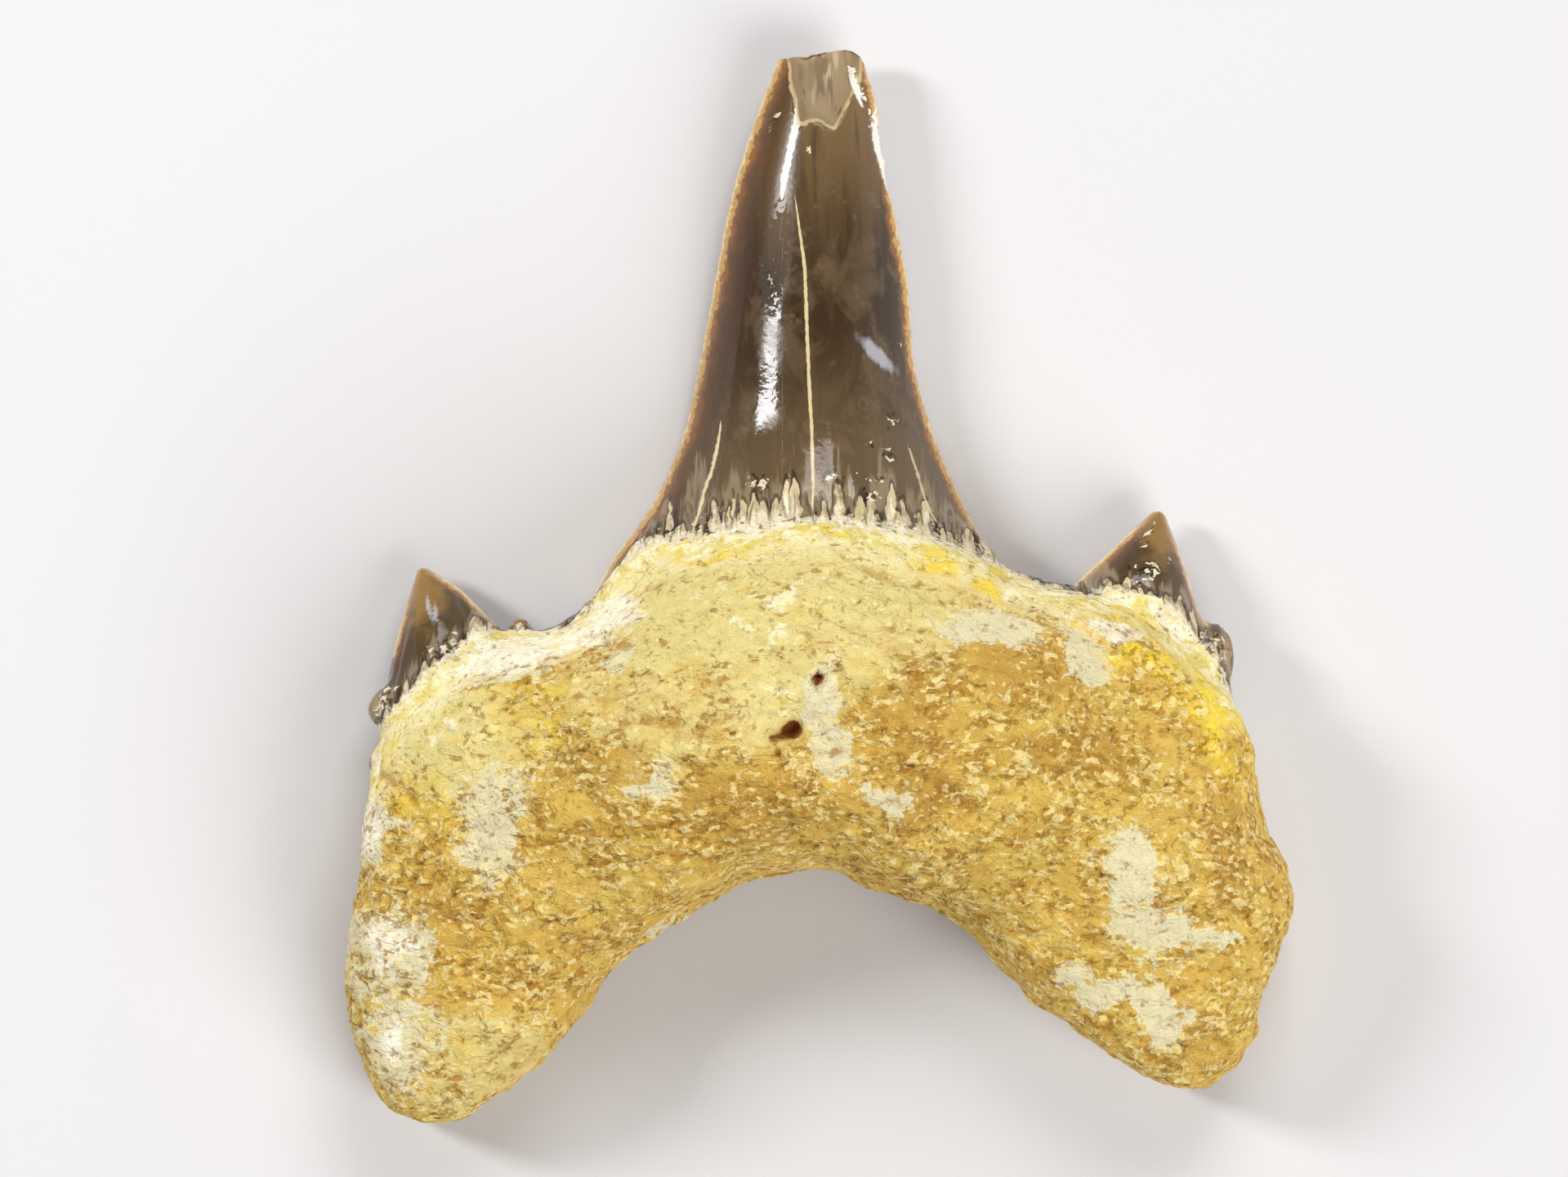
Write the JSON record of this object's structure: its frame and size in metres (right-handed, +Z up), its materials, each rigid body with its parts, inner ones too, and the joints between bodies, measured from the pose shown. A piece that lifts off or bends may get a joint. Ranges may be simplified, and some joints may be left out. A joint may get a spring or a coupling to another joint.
{
  "type": "fossil shark tooth",
  "caption": "Fossil mackerel-shark tooth: a tall smooth dark cusp with a broken tip between small side cusplets, on a thick yellow root with spread lobes, lying on its flat face.",
  "frame": {"origin": "centre of the tooth's bounding box, on the plane that the labial face rests on", "axes": "+Y from the root lobes to the cusp's tip, +X to the right across the root seen from the lingual side, +Z up, out of the lingual face"},
  "size_m": [0.0354, 0.04, 0.0115],
  "materials": {
    "fossil_tooth": "matt ochre root, glossy dark brown enamel on the crown"
  },
  "bodies": {
    "root": {"tooth": "fossil_tooth"}
  },
  "joints": []
}
